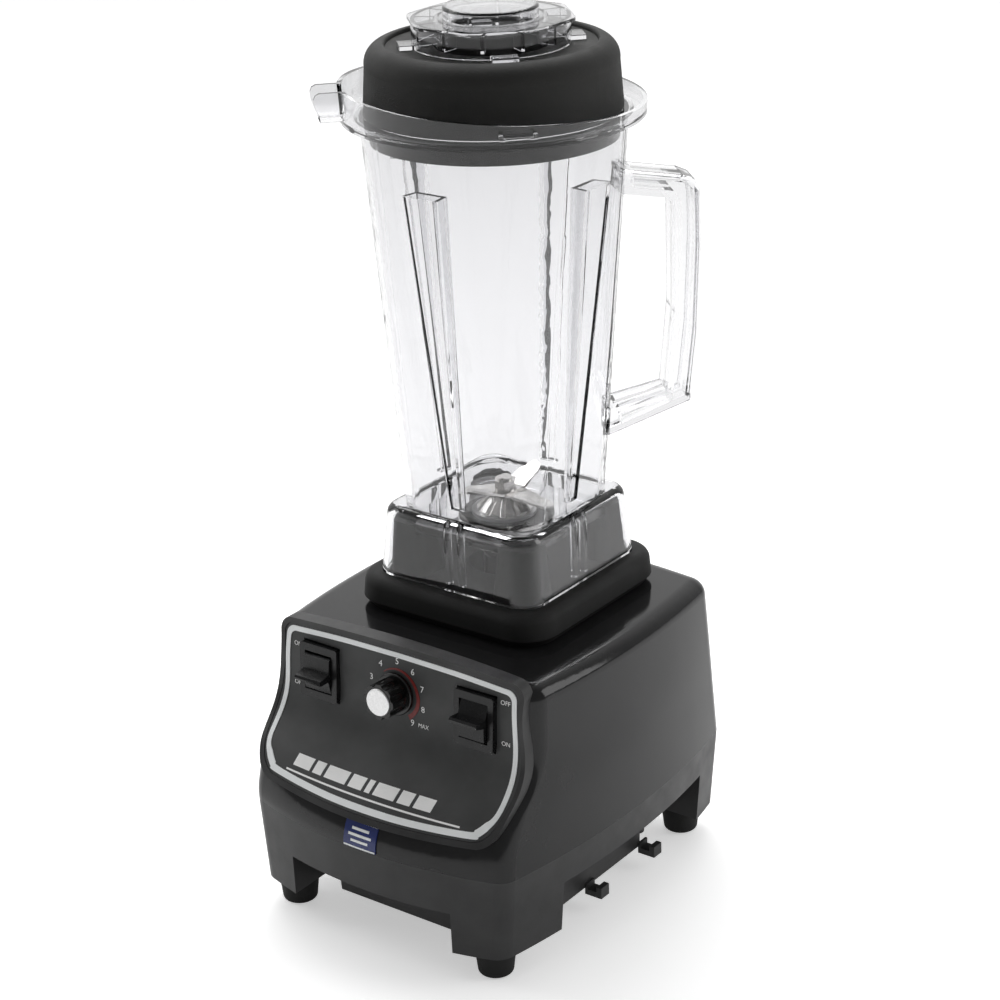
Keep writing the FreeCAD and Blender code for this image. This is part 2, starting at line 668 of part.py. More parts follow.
def jar_body_solid(offset, z_low, z_high):
    """Jar body: rounded square at the floor that turns into a circle at the mouth."""
    def level(z):
        return (z - FLOOR_Z) / (MOUTH_Z - FLOOR_Z)

    flat = radians(46)
    low = rounded_square(z_low, BODY_HALF + level(z_low) * 5 - offset, BODY_R - offset / 2)
    high = round_wire(z_high, MOUTH_R - (1 - level(z_high)) * 17 - offset, flat)
    return loft([low, high], ruled=True)


def rib_groove(depth, spread):
    """Wedge that presses a baffle into the middle of each side, deepest at its top."""
    z_low, z_high = 238.0, 424.0
    face_low, face_high = BODY_HALF + 0.6, 67.2

    def outline(z, reach, half, back):
        return Part.makePolygon([V(x, y, z) for x, y in
                                 ((back, -half), (reach, -half * 0.7), (reach, half * 0.7), (back, half),
                                  (back, -half))])

    low = outline(z_low, face_low - depth * 0.35, 4.0 + spread, face_low + 20)
    high = outline(z_high, face_high - depth, 12.0 + spread, face_high + 20)
    return loft([low, high], ruled=True)


def gutter(x0, x1, half, low, top):
    """Prism along X with upright sides and a half-round bottom."""
    corners = [V(x0, half, low + half), V(x0, half, top), V(x0, -half, top), V(x0, -half, low + half)]
    edges = [Part.LineSegment(a, b).toShape() for a, b in zip(corners, corners[1:])]
    edges.append(arc(corners[3], V(x0, 0, low), corners[0]))
    return Part.Face(Part.Wire(edges)).extrude(V(x1 - x0, 0, 0))


def jar():
    outer = jar_body_solid(0, FLOOR_Z - FLOOR_T, MOUTH_Z)
    inner = jar_body_solid(JAR_WALL, FLOOR_Z, MOUTH_Z)
    grooves = [spun(rib_groove(8.0, 0.0), 90 * i) for i in range(4)]
    backs = [spun(rib_groove(8.0 + JAR_WALL, JAR_WALL), 90 * i) for i in range(4)]
    for groove, back in zip(grooves, backs):
        outer = outer.cut(groove)
        inner = inner.cut(back)

    skirt = loft([rounded_square(SKIRT_Z, SKIRT_HALF, SKIRT_R),
                  rounded_square(LEDGE_Z, SKIRT_TOP_HALF, SKIRT_R)], True)
    skirt = skirt.makeFillet(6.0, [e for e in skirt.Edges if e.BoundBox.ZMin > LEDGE_Z - 0.1])
    under = loft([rounded_square(SKIRT_Z - 1, SKIRT_HALF - WALL + 0.1, SKIRT_R - WALL),
                  rounded_square(LEDGE_Z - WALL, SKIRT_TOP_HALF - WALL, SKIRT_R - WALL)], True)
    skirt = skirt.cut(under)
    pins = [spun(cyl(2.3, SKIRT_Z + 2, LEDGE_Z - WALL + 0.5, 48.8, s * 4.6), 90 * i)
            for i in range(4) for s in (-1, 1)]

    mouth = MOUTH_R - JAR_WALL
    flange = turned([(mouth, MOUTH_Z - 2.5), (MOUTH_R, MOUTH_Z - 2.5), (MOUTH_R + 2.5, MOUTH_Z),
                     (FLANGE_R, MOUTH_Z), (FLANGE_R, FLANGE_Z), (mouth, FLANGE_Z)])
    lean = 1.4
    band = turned([(FLANGE_R - 2.6, FLANGE_Z - 1), (FLANGE_R, FLANGE_Z - 1), (FLANGE_R + lean, 480),
                   (FLANGE_R + lean - 2.6, 480)])
    slant = Part.makePlane(400, 400, V(-200, -200, 0)).extrude(V(0, 0, 100))
    slant.rotate(V(0, 0, 0), V(-sin(radians(SPOUT_AZ)), cos(radians(SPOUT_AZ)), 0),
                 -degrees(atan2(RIM_SLOPE, 1)))
    slant.translate(V(0, 0, RIM_MID_Z))
    band = band.cut(slant)

    spout_top = RIM_MID_Z + RIM_SLOPE * 84
    nose = [(95.0, spout_top + 0.1), (97.3, spout_top - 1.2), (98.4, spout_top - 3.6), (98.0, spout_top - 8.0),
            (93.8, MOUTH_Z - 1), (110.0, MOUTH_Z - 1), (110.0, spout_top + 5), (95.0, spout_top + 5)]
    beyond = Part.makePolygon([V(x, -20, z) for x, z in nose + nose[:1]])
    spout = gutter(FLANGE_R - 2.0, 100.0, 12.0, MOUTH_Z + 0.5, spout_top)
    spout = spout.cut(Part.Face(beyond).extrude(V(0, 40, 0)))
    channel = gutter(FLANGE_R - 8.0, 101.0, 9.6, MOUTH_Z + 3.4, spout_top + 5)
    lug = fuse([block(FLANGE_R, FLANGE_R + 3.2, -10, 10, 460.5, 462.5),
                block(FLANGE_R, FLANGE_R + 3.2, -10, -8, 460.5, 464.5),
                block(FLANGE_R, FLANGE_R + 3.2, 8, 10, 460.5, 464.5)])

    body = fuse([outer, skirt, flange, band, spun(spout, SPOUT_AZ), handle(),
                 spun(lug, -45), spun(lug, 135)] + pins)
    body = body.cut(inner).cut(spun(channel, SPOUT_AZ))
    body = body.cut(cyl(13.2, FLOOR_Z - FLOOR_T - 1, FLOOR_Z + 1))
    return on_axis(body)


def handle():
    """C-shaped grip with a recess in each side, rooted in the jar's rear right corner."""
    half_w, web = 12.0, 3.2

    def side(points, y0, y1):
        wire = Part.makePolygon([V(r, y0, z) for r, z in points + points[:1]])
        return Part.Face(wire).extrude(V(0, y1 - y0, 0))

    outer = [(68.5, 421.5), (103.0, 416.0), (109.5, 413.0), (112.5, 407.0), (113.0, 376.0), (111.0, 325.0),
             (106.5, 283.5), (58.8, 266.0)]
    grip = [(68.5, 407.8), (92.5, 404.2), (96.0, 402.5), (97.2, 399.0), (97.2, 338.0), (92.8, 290.0),
            (58.8, 282.5)]
    frame = side(outer, -half_w, half_w)
    frame = frame.makeFillet(2.2, [e for e in frame.Edges if e.BoundBox.YLength < 0.1
                                   and e.BoundBox.XMax > 70])
    frame = frame.cut(side([(40, 407.8)] + grip + [(40, 282.5)], -half_w - 1, half_w + 1))
    pocket = [(75.0, 416.6), (102.0, 412.3), (107.5, 408.5), (109.0, 400.0), (109.2, 376.0), (107.2, 326.0),
              (103.0, 287.6), (66.0, 273.2), (66.0, 279.8), (96.0, 287.0), (101.0, 336.0), (101.2, 402.0),
              (97.0, 407.8), (75.0, 411.2)]
    frame = frame.cut(side(pocket, web, half_w + 1)).cut(side(pocket, -half_w - 1, -web))
    return spun(frame, HANDLE_AZ)


# ---- blade assembly ----

def bearing_housing():
    body = fuse([cyl(13, 200, FLOOR_Z), cyl(19, FLOOR_Z, FLOOR_Z + 2)])
    body = body.cut(cyl(11, 199, 219.2)).cut(cyl(9.5, 219, FLOOR_Z))
    return on_axis(body.cut(cyl(6, 190, 240)))


def fluted_dome():
    dome = turned([(5.2, FLOOR_Z + 2), (16.5, FLOOR_Z + 2), (16.5, FLOOR_Z + 3.5), (9.0, 232.6), (5.2, 232.6)])
    for i in range(12):
        flute = Part.makeCylinder(2.0, 20, V(17.6, 0, FLOOR_Z + 3), V(-8.5, 0, 9.0))
        dome = dome.cut(spun(flute, i * 30))
    return on_axis(dome)


def spindle_seal():
    return on_axis(tube(9.5, SHAFT_R + 0.3, 219.4, 221.8))


def retainer_nut():
    nut = tube(27, 13.1, 207, FLOOR_Z - FLOOR_T)
    for i in range(16):
        nut = nut.cut(spun(block(24.6, 29, -1.6, 1.6, 206, 214), i * 22.5))
    return on_axis(nut)


def blade_spindle():
    return on_axis(fuse([cyl(SHAFT_R, 200, 243), splined(5.3, 6.9, 187, 200, 8, 2.0)]))


def blade():
    """Two bent strips crossed on the spindle: one pair of wings up, the other down."""
    def pair(z0, tilt, root_half, tip_half, reach):
        hub = block(-9, 9, -root_half, root_half, z0, z0 + 1.5)
        wings = []
        for turn in (0, 180):
            outline = [V(8, -root_half, z0), V(reach - 3, -tip_half, z0), V(reach, tip_half * 0.2, z0),
                       V(reach - 8, tip_half, z0), V(8, root_half, z0)]
            wing = Part.Face(Part.makePolygon(outline + outline[:1])).extrude(V(0, 0, 1.5))
            wing.rotate(V(8.5, 0, z0 + 0.75), V(0, 1, 0), -tilt)
            wings.append(spun(wing, turn))
        return fuse([hub] + wings)

    lower = spun(pair(232.9, -12, 7.5, 5.5, 30.0), 8)
    upper = spun(pair(234.4, 22, 7.5, 5.5, 30.0), 84)
    return on_axis(fuse([lower, upper]).cut(cyl(SHAFT_R, 225, 250)))


def blade_nut():
    wire = Part.makePolygon([V(7 * cos(radians(60 * i)), 7 * sin(radians(60 * i)), 236.9) for i in range(7)])
    nut = Part.Face(wire).extrude(V(0, 0, 4.6)).common(Part.makeSphere(9.0, V(0, 0, 236)))
    washer = cyl(6.5, 235.9, 236.9)
    return on_axis(fuse([nut, washer]).cut(cyl(SHAFT_R, 230, 250)))


# ---- lid and plug ----

def lid():
    """Rubber lid: domed ring with a shallow dish for the plug and an insert that fills the mouth."""
    def p(r, z):
        return V(r, 0, z)

    foot = FLANGE_Z + GAP
    under = DISH_Z - 5.0
    edges = [arc(p(69.2, 484.0), p(66.4, 492.6), p(59.2, LID_TOP)),
             arc(p(59.2, LID_TOP), p(58.1, LID_TOP - 0.4), p(57.6, LID_TOP - 1.3))]
    corners = [(57.6, LID_TOP - 1.3), (57.4, DISH_Z), (31.2, DISH_Z), (31.2, 452), (34.5, 452),
               (34.5, under), (63.0, under), (64.5, 444.2), (68.4, 444.2), (69.9, foot), (LID_R, foot),
               (69.2, 484.0)]
    for start, end in zip(corners, corners[1:]):
        edges.append(Part.LineSegment(p(*start), p(*end)).toShape())
    return on_axis(Part.Face(Part.Wire(edges)).revolve(V(0, 0, 0), UP, 360))


def lid_plug():
    """Clear measuring plug: eight-sided flange over a skirt wall with four bayonet tabs, a cup
    grip and a tube that passes through the lid."""
    flange_z, foot_z = 506.7, DISH_Z + GAP
    corner = 43.6 / cos(pi / 8)
    wire = Part.makePolygon([V(corner * cos(pi / 8 + i * pi / 4), corner * sin(pi / 8 + i * pi / 4), flange_z)
                             for i in range(9)])
    flange = Part.Face(wire).extrude(V(0, 0, 1.8))
    flange = flange.makeFillet(11.0, [e for e in flange.Edges if e.BoundBox.ZLength > 1])
    grip = cyl(26.1, flange_z, PLUG_TOP)
    grip = grip.makeFillet(1.6, [e for e in grip.Edges if e.BoundBox.ZMin > PLUG_TOP - 0.1])
    skirt = tube(43.2, 41.0, foot_z, flange_z + 1)
    sleeve = cyl(30.8, 450, flange_z + 1)
    tabs = [spun(block(42, 50.5, -7, 7, foot_z, foot_z + 2.5), 45 + 90 * i) for i in range(4)]
    ribs = [spun(block(30, 42, -0.9, 0.9, 497, flange_z + 1), 30 * i) for i in range(12)]
    plug = fuse([flange, grip, skirt, sleeve] + tabs + ribs)
    plug = plug.cut(cyl(23.6, 449, PLUG_TOP - 2.2)).cut(tube(28.4, 23.5, 449, flange_z))
    return on_axis(plug)


def write_all():
    os.makedirs("parts", exist_ok=True)
    parts = {
        "lower_base": lower_base(), "bottom_pan": bottom_pan(), "cord_cleats": cord_cleats(),
        "rubber_feet": rubber_feet(), "foot_screws": screws(FEET, 7.0, 3.0, 28.0),
        "case_screws": screws(SCREW_SPOTS, DECK_Z, 3.0, 84.0, 1.85),
        "pan_screws": screws(PAN_SPOTS, 17.0, 3.0, 50.5),
        "upper_housing": upper_housing(), "panel_frame": panel_frame(), "panel_fascia": panel_fascia(),
        "panel_outline": panel_outline(), "badge_plate": badge(), "dial_print": dial_print(),
        "power_switch_body": switch_body(-SWITCH_X), "pulse_switch_body": switch_body(SWITCH_X),
        "power_rocker": rocker(-SWITCH_X, 8.0), "pulse_rocker": rocker(SWITCH_X, -8.0),
        "speed_control": speed_control(), "dial_shaft": dial_shaft(), "speed_knob": speed_knob(),
        "knob_cap": knob_cap(), "jar_pad": jar_pad(), "control_board": control_board(),
        "cord_gland": cord_gland(), "upper_motor_bracket": motor_frame(BRACKET_Z, True),
        "lower_motor_bracket": motor_frame(50.0, False), "motor_studs": motor_studs(),
        "upper_motor_bearing": bearing(145.2), "lower_motor_bearing": bearing(45.5),
        "stator": stator(), "field_coils": field_coils(), "brush_holders": brush_gear(),
        "brushes": brushes(), "motor_shaft": motor_shaft(), "armature_core": armature(),
        "armature_winding": armature_winding(), "commutator": commutator(), "cooling_fan": cooling_fan(),
        "drive_socket": drive_socket(), "jar": jar(), "bearing_housing": bearing_housing(),
        "lower_blade_bearing": bearing(202.1), "upper_blade_bearing": bearing(212.1),
        "spindle_seal": spindle_seal(), "retainer_nut": retainer_nut(), "fluted_dome": fluted_dome(),
        "blade_spindle": blade_spindle(), "blade": blade(), "blade_nut": blade_nut(),
        "lid": lid(), "lid_plug": lid_plug(),
    }
    for name, shape in parts.items():
        solids = shape.Solids
        print(f"{name:22s} solids {len(solids)} valid {shape.isValid()} volume {shape.Volume / 1000:.2f} cm3")
        save(name, shape)


write_all()
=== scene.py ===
import json
from math import cos, radians, sin

import bpy
from mathutils import Matrix, Vector
from mathutils.bvhtree import BVHTree


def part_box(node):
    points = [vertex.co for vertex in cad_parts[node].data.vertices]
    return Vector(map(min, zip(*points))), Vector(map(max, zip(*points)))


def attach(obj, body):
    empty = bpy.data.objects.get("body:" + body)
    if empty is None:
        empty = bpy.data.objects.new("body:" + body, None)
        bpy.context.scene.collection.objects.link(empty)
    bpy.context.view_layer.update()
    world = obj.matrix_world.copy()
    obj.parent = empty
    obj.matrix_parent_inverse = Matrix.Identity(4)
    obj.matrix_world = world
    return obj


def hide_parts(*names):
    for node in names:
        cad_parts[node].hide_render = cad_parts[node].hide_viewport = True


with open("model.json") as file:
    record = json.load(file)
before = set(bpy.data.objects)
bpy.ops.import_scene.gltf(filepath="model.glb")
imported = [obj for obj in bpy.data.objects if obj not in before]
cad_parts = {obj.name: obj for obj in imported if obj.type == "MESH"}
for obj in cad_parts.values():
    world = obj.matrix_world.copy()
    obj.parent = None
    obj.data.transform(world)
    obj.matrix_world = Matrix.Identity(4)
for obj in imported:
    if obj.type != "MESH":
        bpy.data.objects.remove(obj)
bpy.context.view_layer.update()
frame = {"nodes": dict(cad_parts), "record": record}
nodes = frame["nodes"]

MM = 0.001      # edge radii, the panel's outline and its printing are given in millimetres


# ---- node helpers ----

class Nodes:
    """Small wrapper that adds and links shader nodes."""

    def __init__(self, tree):
        self.tree = tree
        tree.nodes.clear()

    def add(self, kind, **settings):
        node = self.tree.nodes.new(kind)
        for key, value in settings.items():
            setattr(node, key, value)
        return node

    def link(self, source, target):
        self.tree.links.new(source, target)

    def coords(self):
        return self.add("ShaderNodeTexCoord").outputs["Object"]

    def stretched(self, vector, scale):
        mapping = self.add("ShaderNodeMapping")
        mapping.inputs["Scale"].default_value = scale
        self.link(vector, mapping.inputs["Vector"])
        return mapping.outputs["Vector"]

    def noise(self, vector, scale, detail=3.0, roughness=0.55):
        node = self.add("ShaderNodeTexNoise")
        node.inputs["Scale"].default_value = scale
        node.inputs["Detail"].default_value = detail
        node.inputs["Roughness"].default_value = roughness
        self.link(vector, node.inputs["Vector"])
        return node.outputs["Fac"]

    def ramp(self, factor, stops):
        """Colour ramp; each stop is (position, rgb or grey)."""
        node = self.add("ShaderNodeValToRGB")
        band = node.color_ramp
        while len(band.elements) < len(stops):
            band.elements.new(0.5)
        for element, (position, value) in zip(band.elements, stops):
            rgb = (value,) * 3 if isinstance(value, float) else value
            element.position = position
            element.color = (*rgb, 1.0)
        self.link(factor, node.inputs["Fac"])
        return node.outputs["Color"]

    def spread(self, factor, low, high):
        """Map a noise, which stays around its middle, to low..high."""
        node = self.add("ShaderNodeMapRange")
        node.inputs["From Min"].default_value = 0.3
        node.inputs["From Max"].default_value = 0.7
        node.inputs["To Min"].default_value = low
        node.inputs["To Max"].default_value = high
        self.link(factor, node.inputs["Value"])
        return node.outputs["Result"]

    def bump(self, height, strength, distance, normal=None):
        node = self.add("ShaderNodeBump")
        node.inputs["Strength"].default_value = strength
        node.inputs["Distance"].default_value = distance
        self.link(height, node.inputs["Height"])
        if normal is not None:
            self.link(normal, node.inputs["Normal"])
        return node.outputs["Normal"]


def new_material(name):
    material = bpy.data.materials.new(name)
    material.use_nodes = True
    nt = Nodes(material.node_tree)
    shader = nt.add("ShaderNodeBsdfPrincipled")
    output = nt.add("ShaderNodeOutputMaterial")
    nt.link(shader.outputs["BSDF"], output.inputs["Surface"])
    return material, nt, shader


def moulded(name, dark, light, rough, grain=1600.0, grain_bump=0.15, wave_bump=0.02, metallic=0.0,
            specular=0.5):
    """Solid finish: mottled colour, uneven gloss, fine grain and long shallow waves."""
    material, nt, shader = new_material(name)
    place = nt.coords()
    cloud = nt.noise(place, 38.0, 4.0)
    fine = nt.noise(place, grain, 2.0)
    nt.link(nt.ramp(cloud, [(0.35, dark), (0.65, light)]), shader.inputs["Base Color"])
    nt.link(nt.spread(nt.noise(place, 90.0, 5.0), *rough), shader.inputs["Roughness"])
    waves = nt.bump(nt.noise(place, 14.0, 1.0), wave_bump, 0.002)
    nt.link(nt.bump(fine, grain_bump, 0.00006, waves), shader.inputs["Normal"])
    shader.inputs["Metallic"].default_value = metallic
    shader.inputs["Specular IOR Level"].default_value = specular
    return material


def clear_plastic(name, tint, rough):
    """Polycarbonate: clear with a light grey tint, faint flow waves and a slightly uneven gloss."""
    material, nt, shader = new_material(name)
    place = nt.coords()
    shader.inputs["Base Color"].default_value = (*tint, 1.0)
    shader.inputs["Transmission Weight"].default_value = 1.0
    shader.inputs["IOR"].default_value = 1.49
    nt.link(nt.spread(nt.noise(place, 60.0, 4.0), *rough), shader.inputs["Roughness"])
    flow = nt.noise(nt.stretched(place, (1.0, 1.0, 0.35)), 18.0, 1.0)
    nt.link(nt.bump(flow, 0.012, 0.001), shader.inputs["Normal"])
    return material


def rubber(name, dark, light, grain, strength):
    """Matt rubber with a pebbled skin and dusty patches."""
    material, nt, shader = new_material(name)
    place = nt.coords()
    dust = nt.noise(place, 55.0, 6.0, 0.65)
    nt.link(nt.ramp(dust, [(0.3, dark), (0.7, light)]), shader.inputs["Base Color"])
    pebbles = nt.add("ShaderNodeTexVoronoi")
    pebbles.inputs["Scale"].default_value = grain
    nt.link(place, pebbles.inputs["Vector"])
    skin = nt.bump(pebbles.outputs["Distance"], strength, 0.00012)
    skin = nt.bump(nt.noise(place, grain * 0.35, 4.0), strength * 0.8, 0.0002, skin)
    nt.link(skin, shader.inputs["Normal"])
    nt.link(nt.spread(dust, 0.62, 0.78), shader.inputs["Roughness"])
    shader.inputs["Specular IOR Level"].default_value = 0.35
    return material


def brushed(name, colour, rough, direction):
    """Metal with fine scratches along one direction."""
    material, nt, shader = new_material(name)
    place = nt.coords()
    lines = nt.noise(nt.stretched(place, direction), 900.0, 3.0)
    darker = tuple(c * 0.82 for c in colour)
    nt.link(nt.ramp(lines, [(0.3, darker), (0.7, colour)]), shader.inputs["Base Color"])
    nt.link(nt.spread(lines, *rough), shader.inputs["Roughness"])
    nt.link(nt.bump(lines, 0.12, 0.00005), shader.inputs["Normal"])
    shader.inputs["Metallic"].default_value = 1.0
    return material


MATERIALS = {
    "gloss_black": moulded("gloss_black", (0.012, 0.012, 0.0125), (0.016, 0.016, 0.0165), (0.08, 0.15),
                           grain_bump=0.02, wave_bump=0.02, specular=0.36),
    "satin_black": moulded("satin_black", (0.030, 0.030, 0.0305), (0.040, 0.040, 0.0405), (0.32, 0.44),
                           grain=1400.0, grain_bump=0.2, specular=0.32),
    "fascia_charcoal": moulded("fascia_charcoal", (0.050, 0.051, 0.051), (0.062, 0.063, 0.063),
                               (0.42, 0.55), grain=2200.0, grain_bump=0.2, specular=0.3),
    "switch_black": moulded("switch_black", (0.004, 0.004, 0.0045), (0.007, 0.007, 0.0075), (0.22, 0.34),
                            grain_bump=0.1, specular=0.4),
    "knob_black": moulded("knob_black", (0.004, 0.004, 0.004), (0.007, 0.007, 0.007), (0.12, 0.24),
                          grain_bump=0.06),
    "socket_black": moulded("socket_black", (0.02, 0.02, 0.021), (0.035, 0.035, 0.036), (0.3, 0.45)),
    "black_rubber": rubber("black_rubber", (0.006, 0.006, 0.006), (0.011, 0.011, 0.0105), 2600.0, 0.5),
    "lid_rubber": rubber("lid_rubber", (0.012, 0.012, 0.011), (0.020, 0.020, 0.0185), 1900.0, 0.8),
    "outline_silver": moulded("outline_silver", (0.84, 0.86, 0.86), (0.92, 0.94, 0.94), (0.3, 0.42)),
    "badge_navy": moulded("badge_navy", (0.018, 0.03, 0.13), (0.03, 0.045, 0.18), (0.15, 0.25)),
    "dial_red": moulded("dial_red", (0.15, 0.010, 0.008), (0.22, 0.016, 0.012), (0.4, 0.55)),
    "board_green": moulded("board_green", (0.012, 0.11, 0.04), (0.02, 0.16, 0.06), (0.3, 0.45)),
    "cast_aluminium": moulded("cast_aluminium", (0.5, 0.5, 0.51), (0.66, 0.66, 0.67), (0.35, 0.5),
                              grain=900.0, grain_bump=0.5, metallic=1.0),
    "core_steel": brushed("core_steel", (0.36, 0.36, 0.37), (0.4, 0.55), (1.0, 1.0, 14.0)),
    "bearing_steel": brushed("bearing_steel", (0.62, 0.62, 0.63), (0.18, 0.3), (1.0, 1.0, 9.0)),
    "zinc_steel": brushed("zinc_steel", (0.66, 0.67, 0.7), (0.3, 0.42), (1.0, 1.0, 4.0)),
    "blade_steel": brushed("blade_steel", (0.74, 0.73, 0.71), (0.14, 0.28), (1.0, 12.0, 4.0)),
    "knob_silver": brushed("knob_silver", (0.88, 0.88, 0.88), (0.28, 0.42), (1.0, 1.0, 1.0)),
    "copper": brushed("copper", (0.72, 0.36, 0.2), (0.3, 0.45), (1.0, 1.0, 8.0)),
    "brass": brushed("brass", (0.78, 0.6, 0.28), (0.25, 0.4), (1.0, 1.0, 3.0)),
    "carbon": moulded("carbon", (0.03, 0.03, 0.03), (0.05, 0.05, 0.05), (0.5, 0.65)),
    "clear_plastic": clear_plastic("clear_plastic", (0.89, 0.89, 0.90), (0.0, 0.02)),
    "print_white": moulded("print_white", (0.90, 0.90, 0.89), (0.96, 0.96, 0.95), (0.45, 0.6)),
}

for part in frame["record"]["subparts"]:
    mesh = nodes[part["node"]].data
    mesh.materials.clear()
    mesh.materials.append(MATERIALS[part["material_slot"]])


# ---- edge rounding of the CAD pieces ----

SHARP_ANGLE = radians(40)       # edges that turn by more than this count as sharp
EDGE_RADII = {
    "lower_base": 0.7, "bottom_pan": 0.4, "panel_frame": 0.6, "jar_pad": 0.6, "speed_knob": 0.3,
    "power_rocker": 0.4, "pulse_rocker": 0.4, "power_switch_body": 0.3, "pulse_switch_body": 0.3,
}


def soften(node, width):
    """Small radius on every sharp edge, so that edges catch the light."""
    bevel = nodes[node].modifiers.new("edges", "BEVEL")
    bevel.width = width * MM
    bevel.segments = 2
    bevel.limit_method = "ANGLE"
    bevel.angle_limit = SHARP_ANGLE
    bevel.harden_normals = True


# ---- the panel's outline and printing, laid on the fascia ----

def surface_of(name):
    """The front of a CAD node as a function: the y of its surface at (x, z)."""
    mesh = nodes[name].data
    vertices = [vertex.co.copy() for vertex in mesh.vertices]
    tree = BVHTree.FromPolygons(vertices, [list(face.vertices) for face in mesh.polygons])

    def y_at(x, z, reach=0.004):
        """Nearest hit from the front, looking a little aside where a hole is."""
        for dx, dz in ((0, 0), (reach, 0), (-reach, 0), (0, reach), (0, -reach)):
            hit = tree.ray_cast(Vector((x + dx, -0.3, z + dz)), Vector((0, 1, 0)))
            if hit[0] is not None:
                return hit[0].y
        return None

    return y_at


fascia_y = surface_of("panel_fascia")


def add_piece(name, vertices, faces, material, body):
    """A new piece that rides on a body and wears the material of one of the record's slots."""
    mesh = bpy.data.meshes.new(name)
    mesh.from_pydata(vertices, [], faces)
    mesh.update()
    mesh.materials.append(MATERIALS[material])
    piece = bpy.data.objects.new(name, mesh)
    bpy.context.scene.collection.objects.link(piece)
    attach(piece, body)
    return piece


def arc_points(cx, cz, r, start, end, steps):
    angles = [radians(start + (end - start) * i / steps) for i in range(steps + 1)]
    return [(cx + r * cos(a), cz + r * sin(a)) for a in angles]


def smooth(points, steps):
    """Catmull-Rom curve through the points, its ends repeated."""
    chain = [Vector(p) for p in (points[0], *points, points[-1])]
    out = []
    for a, b, c, d in zip(chain, chain[1:], chain[2:], chain[3:]):
        for i in range(steps):
            t = i / steps
            out.append(0.5 * (2 * b + (c - a) * t + (2 * a - 5 * b + 4 * c - d) * t ** 2
                              + (3 * b - 3 * c + d - a) * t ** 3))
    return [tuple(p) for p in out + [chain[-1]]]


def shield_loop(inset):
    """The panel's outline, moved in by inset, as (x, z) points: clockwise as seen from the front."""
    top, low = 175.0 - inset, 85.0 + inset
    wide, waist, hip = 86.0 - inset, 87.4 - inset, 88.4 - inset
    r = 9.0 - inset * 0.6
    crown = smooth([(0, top + 3), (wide * 0.5, top + 2.2), (wide - r, top)], 12)
    corner = arc_points(wide - r, top - r, r, 88, 2, 10)
    side = smooth([(wide, top - r), (waist, 136), (hip, 108), (hip - 5, low + 7.5)], 14)
    foot = smooth([(hip - 5, low + 7.5), (hip - 9, low + 3.9), (hip - 14, low + 2.0), (30, low + 0.3),
                   (0, low)], 12)
    right = crown + corner + side[1:] + foot[1:]
    left = [(-x, z) for x, z in reversed(right[1:-1])]
    return right + left


STRIP_OUTER, STRIP_INNER = 4.7, 7.7     # the strip lies between these insets of the panel's outline
STRIP_SINK, STRIP_RISE = 0.1, 0.4       # it goes this deep into the fascia and stands this far off it


def outline_strip():
    """Closed band between two loops, laid on the fascia."""
    outer, inner = shield_loop(STRIP_OUTER), shield_loop(STRIP_INNER)
    rows = [(outer, -STRIP_SINK), (outer, STRIP_RISE), (inner, STRIP_RISE), (inner, -STRIP_SINK)]
    count = len(outer)
    vertices, faces = [], []
    for loop, rise in rows:
        for x, z in loop:
            vertices.append((x * MM, fascia_y(x * MM, z * MM) - rise * MM, z * MM))
    for row in range(len(rows)):
        here, after = row * count, (row + 1) % len(rows) * count
        for i in range(count):
            j = (i + 1) % count
            faces.append((here + i, here + j, after + j, after + i))
    strip = add_piece("outline_strip", vertices, faces, "outline_silver", "base")
    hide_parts("panel_outline")
    for face in strip.data.polygons:
        face.use_smooth = True
    strip.data.set_sharp_from_angle(angle=SHARP_ANGLE)


PRINT_LIFT = 0.14               # the ink stands this far off the fascia
CAP_SHARE = 0.70                # height of the font's capitals, as a share of its size


class Print:
    """Collects flat printing in panel millimetres and lays it on the fascia."""

    def __init__(self):
        self.vertices, self.faces = [], []

    def bar(self, left, width, z0, z1, slant, steps):
        """Slanted bar, in enough small faces to follow the surface."""
        first, rows = len(self.vertices), 3
        for i in range(steps + 1):
            for j in range(rows):
                level = j / (rows - 1)
                x, z = left + width * i / steps + slant * level, z0 + (z1 - z0) * level
                self.vertices.append((x * MM, fascia_y(x * MM, z * MM) - PRINT_LIFT * MM, z * MM))
        for i in range(steps):
            for j in range(rows - 1):
                k = first + rows * i + j
                self.faces.append((k, k + rows, k + rows + 1, k + 1))

    def text(self, words, x, z, cap):
        """Plain capitals or digits, centred at (x, z)."""
        curve = bpy.data.curves.new(words, "FONT")
        curve.body = words
        curve.size = cap / CAP_SHARE
        curve.align_x, curve.align_y = "CENTER", "CENTER"
        curve.resolution_u = 4
        stamp = bpy.data.objects.new(words, curve)
        mesh = bpy.data.meshes.new_from_object(stamp)
        first = len(self.vertices)
        for vertex in mesh.vertices:
            px, pz = x + vertex.co.x, z + vertex.co.y
            y = fascia_y(px * MM, pz * MM) - PRINT_LIFT * MM
            self.vertices.append((px * MM, y, pz * MM))
        self.faces += [tuple(first + i for i in face.vertices) for face in mesh.polygons]
        bpy.data.objects.remove(stamp)
        bpy.data.curves.remove(curve)
        bpy.data.meshes.remove(mesh)


